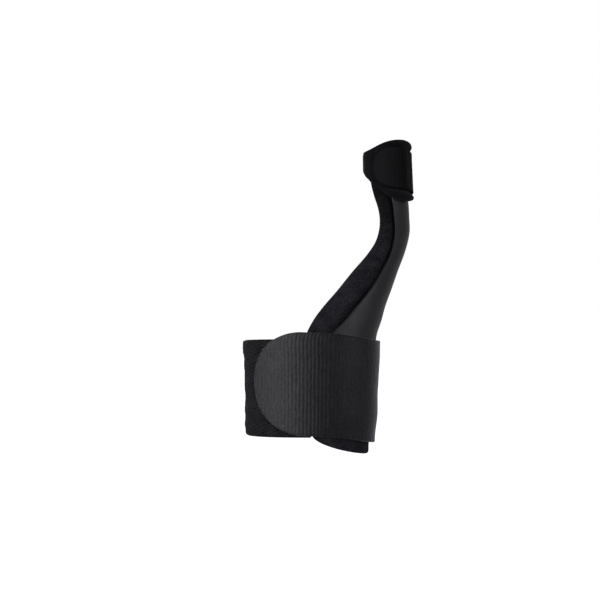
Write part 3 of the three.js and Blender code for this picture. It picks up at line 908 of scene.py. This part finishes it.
def make_wrist_band(strap):
    """The soft band that closes the wrist. It swells and creases where the strap leaves it bare."""
    u = places(86, step=0.5, rim=1.0)[None, :]
    v = places(BAND_TOP + BAND_HEM, step=0.5, rim=1.4)[:, None]
    u, v = np.broadcast_arrays(u, v)
    height = lerp(-BAND_HEM, BAND_TOP, v)
    s = section_at(height)
    seam = np.degrees(SEAM_GAP / s["half_width"])
    turn = lerp(-s["pad"] * PALM_PAD_SHARE - seam, s["pad"] + seam - 360, u)
    edge = np.minimum(v, 1 - v) * (BAND_TOP + BAND_HEM)
    away = -strap.cover(height, np.where(turn < -180, turn + 360, turn))
    along = -np.radians(turn) * s["half_width"]

    base = over(height, turn, 0)
    slant = height * math.cos(KNIT_SLANT) - along * math.sin(KNIT_SLANT)
    rows = slant * 2 * math.pi / KNIT_PITCH + 2.5 * relief(base, size=4.0, seed=7)
    knit = np.sin(rows) * (0.5 + relief(base, size=3.0, seed=12))
    soft = 0.4 * relief(base, size=4.0, seed=3) + 0.16 * relief(base, size=1.6, seed=4) + 0.07 * knit
    bare_part = round_edge(edge, 1.5) * smoothstep(away, 0.0, 2.0)
    thickness = BAND_THICKNESS + (soft - 0.1) * bare_part
    free = round_edge(edge, 3.0) * smoothstep(away, 0.3, 3.0)
    swelling = {"free": free, "growth": 0.05, "cap": 0.8}
    return soft_sheet(
        "band_cloth", height, turn, 0.0, thickness, edge, 1.3, along, height, swelling=swelling
    )


# The wrist strap's ribs rise towards its bend over the back of the wrist and fade beyond it. It is a little
# thinner than webbing that isn't stretched, and thicker where it bends.
STRAP_RIB_HEIGHT = 0.022
STRAP_RIBS_RISE = (10, 26)
STRAP_RIBS_FADE = (28, 46)
STRAP_THINNING = 0.16
STRAP_BEND = 0.6
STRAP_BEND_PLACE = 20.0
STRAP_BEND_RUN = 8.0


def make_wrist_strap():
    """The ribbed elastic strap. The ribs stand out most where it bends over the back of the wrist."""
    strap = Strap(
        WRIST_TAB_TURN,
        WRIST_STRAP_START,
        WRIST_STRAP_WIDTH / 2,
        wrist_strap_middle,
        under_wrist_strap,
        step=0.28,
    )
    height, turn, along, across, edge = strap.grid(row_step=1.1, softness=0.7)
    base = under_wrist_strap(height, turn)
    points = over(height, turn, base)
    wander = 0.25 * relief(points, size=14.0, seed=5)
    ribs = np.sin((along + wander) * 2 * math.pi / WRIST_RIB_PITCH)
    raised = lerp(0.3, 1.0, smoothstep(along, *STRAP_RIBS_RISE))
    raised *= lerp(1.0, 0.05, smoothstep(along, *STRAP_RIBS_FADE))
    bend = STRAP_BEND * np.exp(-(((along - STRAP_BEND_PLACE) / STRAP_BEND_RUN) ** 2))
    nap = 0.05 * relief(points, size=1.3, seed=6)
    inwards = round_edge(edge, 1.4)
    ribbed = (STRAP_RIB_HEIGHT * ribs * raised + nap) * inwards
    thickness = WRIST_STRAP_THICKNESS - STRAP_THINNING + ribbed + bend
    obj = soft_sheet("wrist_elastic", height, turn, base, thickness, edge, 0.7, along, across)
    return obj, strap


# For this script alone, the thumb band's foot hangs a little lower.
THUMB_BAND_SLACK = 0.9
THUMB_BAND_THINNING = 0.05
THUMB_BAND_TURNS = 112


def make_thumb_band():
    """The padded band round the thumb. Its lips swell beyond the strap that presses on it."""
    turn = np.linspace(180, -180, THUMB_BAND_TURNS, endpoint=False)[None, :]
    v = places(THUMB_BAND_WIDTH, step=0.5, rim=1.6, rim_steps=7)[:, None]
    turn, v = np.broadcast_arrays(turn, v)
    top, foot = thumb_band_top(turn), thumb_band_foot(turn) - THUMB_BAND_SLACK
    height = lerp(foot, top, v)
    edge = np.minimum(v, 1 - v) * (top - foot)
    base = under_thumb_band(height, turn)
    points = over(height, turn, base)
    lip = thumb_lip(height, turn)
    in_lip = lip / THUMB_LIP_SWELL
    soft = 0.22 * relief(points, size=4.5, seed=8) + 0.12 * relief(points, size=1.5, seed=9)
    thickness = THUMB_BAND_THICKNESS - THUMB_BAND_THINNING + lip * (1 + soft)
    along = -np.radians(turn) * THUMB_WIDTH / 2
    softness = lerp(0.6, 1.6, in_lip)
    swelling = {"free": in_lip * round_edge(edge, 1.5), "growth": 0.08, "cap": 0.5}
    return soft_sheet(
        "thumb_cuff_cloth", height, turn, base, thickness, edge, softness, along, height, True, swelling
    )


THUMB_RIB_HEIGHT = 0.015
THUMB_STRAP_THINNING = 0.08


def make_thumb_strap():
    """The narrow strap on the thumb band, with its round tab."""
    strap = Strap(
        THUMB_TAB_TURN,
        THUMB_STRAP_START,
        THUMB_STRAP_WIDTH / 2,
        thumb_strap_middle,
        under_thumb_strap,
        step=0.3,
    )
    height, turn, along, across, edge = strap.grid(row_step=0.6, softness=0.6)
    base = under_thumb_strap(height, turn)
    points = over(height, turn, base)
    ribs = np.sin(along * 2 * math.pi / THUMB_RIB_PITCH)
    soft = 0.05 * relief(points, size=1.4, seed=10) + 0.07 * relief(points, size=6.0, seed=11)
    raised = (THUMB_RIB_HEIGHT * ribs + soft) * round_edge(edge, 1.2)
    thickness = THUMB_STRAP_THICKNESS - THUMB_STRAP_THINNING + raised
    obj = soft_sheet("thumb_elastic", height, turn, base, thickness, edge, 0.5, along, across)
    return obj, strap


def make_patch(name, tip, end, radius, middle, lift_at, thickness, inset):
    """A hook patch under a strap's tab."""
    strap = Strap(tip, end, radius, middle, lift_at, step=0.8, inset=inset)
    height, turn, along, across, edge = strap.grid(row_step=1.0, softness=0.3)
    base = lift_at(height, turn)
    return soft_sheet(name, height, turn, base, thickness, edge, 0.3, along, across)


def on_wrist_band(height, turn):
    """How far off the skin the wrist strap's patch lies."""
    return np.full(np.shape(turn), ON_BAND)


pad = make_thumb_pad()
dress(pad, "thumb_pad", BRUSHED)

shell = make_shell()
dress(shell, "splint_shell", SATIN)

wrist_elastic, wrist_strap = make_wrist_strap()
dress(wrist_elastic, "wrist_strap", ELASTIC)

band = make_wrist_band(wrist_strap)
dress(band, "wrist_band", BAND_CLOTH)

cuff = make_thumb_band()
dress(cuff, "thumb_band", THUMB_CLOTH)

thumb_elastic, thumb_strap = make_thumb_strap()
dress(thumb_elastic, "thumb_strap", THUMB_ELASTIC)


wrist_patch = make_patch(
    "wrist_hooks",
    WRIST_TAB_TURN,
    WRIST_PATCH_END,
    WRIST_STRAP_WIDTH / 2,
    wrist_strap_middle,
    on_wrist_band,
    WRIST_PATCH_THICKNESS,
    WRIST_PATCH_INSET,
)
dress(wrist_patch, "wrist_hook_patch", HOOKS)
thumb_patch = make_patch(
    "thumb_hooks",
    THUMB_TAB_TURN,
    THUMB_PATCH_END,
    THUMB_STRAP_WIDTH / 2,
    thumb_strap_middle,
    on_thumb_band,
    THUMB_PATCH_THICKNESS,
    THUMB_PATCH_INSET,
)
dress(thumb_patch, "thumb_hook_patch", HOOKS)


# Floor, world, lights and camera

FLOOR_HEIGHT = -0.16
FLOOR_HALF = 6.0
WHITE = (1.0, 1.0, 1.0, 1.0)
STUDIO_COLOUR = (0.98, 0.985, 1.045)
WORLD_FRONT = 0.22
WORLD_BACK = 0.42
WORLD_CHANGE = (0.1, 1.0)
LIGHT_TARGET = (0.0, 0.0, 0.03)
CAMERA_PLACE = (-0.00528, -1.0, 0.0408)
CAMERA_LENS = 125.0
CAMERA_SENSOR = 36.0


def make_floor():
    """A plain white floor. Only the camera sees it, so that the dark cloth keeps the light of the studio."""
    half = FLOOR_HALF
    mesh = bpy.data.meshes.new("floor")
    corners = [(-half, -half), (half, -half), (half, half), (-half, half)]
    mesh.from_pydata([(x, y, FLOOR_HEIGHT) for x, y in corners], [], [(0, 1, 2, 3)])
    floor = bpy.data.objects.new("floor", mesh)
    bpy.context.scene.collection.objects.link(floor)
    material, tree, shader = new_material("pale_floor")
    shader.inputs["Base Color"].default_value = (0.9, 0.9, 0.9, 1.0)
    shader.inputs["Roughness"].default_value = 0.9
    shader.inputs["Specular IOR Level"].default_value = 0.0
    shader.inputs["Emission Color"].default_value = WHITE
    shader.inputs["Emission Strength"].default_value = 0.9
    mesh.materials.append(material)
    floor.visible_diffuse = False
    floor.visible_glossy = False
    floor.visible_shadow = False


def make_world():
    """A white studio: bright behind the object, dimmer on the camera's side."""
    world = bpy.data.worlds.new("studio")
    bpy.context.scene.world = world
    world.use_nodes = True
    tree = world.node_tree
    light = tree.nodes["Background"]
    light.inputs["Color"].default_value = (*STUDIO_COLOUR, 1.0)
    way = tree.nodes.new("ShaderNodeTexCoord").outputs["Generated"]
    depth = add(tree, "ShaderNodeSeparateXYZ", Vector=way).outputs["Y"]
    strength = smooth_range(tree, depth, *WORLD_CHANGE, WORLD_FRONT, WORLD_BACK)
    tree.links.new(strength, light.inputs["Strength"])
    seen = add(tree, "ShaderNodeBackground", Color=WHITE, Strength=1.0)
    ray = tree.nodes.new("ShaderNodeLightPath")
    mix = tree.nodes.new("ShaderNodeMixShader")
    tree.links.new(ray.outputs["Is Camera Ray"], mix.inputs[0])
    tree.links.new(light.outputs[0], mix.inputs[1])
    tree.links.new(seen.outputs[0], mix.inputs[2])
    tree.links.new(mix.outputs[0], tree.nodes["World Output"].inputs["Surface"])


def aim(obj, target):
    obj.rotation_euler = (Vector(target) - obj.location).to_track_quat("-Z", "Y").to_euler()


def make_light(name, azimuth, elevation, distance, size, power):
    """A soft square light, placed by its angles: 0 is the camera's side and 90 the thumb's side."""
    azimuth, elevation = math.radians(azimuth), math.radians(elevation)
    level = distance * math.cos(elevation)
    data = bpy.data.lights.new(name, "AREA")
    data.size = size
    data.energy = power
    data.color = STUDIO_COLOUR
    light = bpy.data.objects.new(name, data)
    light.location = (level * math.sin(azimuth), -level * math.cos(azimuth), distance * math.sin(elevation))
    bpy.context.scene.collection.objects.link(light)
    aim(light, LIGHT_TARGET)


def make_camera():
    """A level camera at the photograph's viewing angle, looking along +Y."""
    data = bpy.data.cameras.new("camera")
    data.lens = CAMERA_LENS
    data.sensor_width = CAMERA_SENSOR
    camera = bpy.data.objects.new("camera", data)
    camera.location = CAMERA_PLACE
    camera.rotation_euler = (math.pi / 2, 0.0, 0.0)
    bpy.context.scene.collection.objects.link(camera)
    bpy.context.scene.camera = camera


make_floor()
make_world()
make_light("key_left", azimuth=-42, elevation=10, distance=1.2, size=1.4, power=10.8)
make_light("thumb_fill", azimuth=50, elevation=6, distance=1.2, size=0.6, power=1.9)
make_camera()
bpy.context.scene.view_settings.view_transform = "Standard"
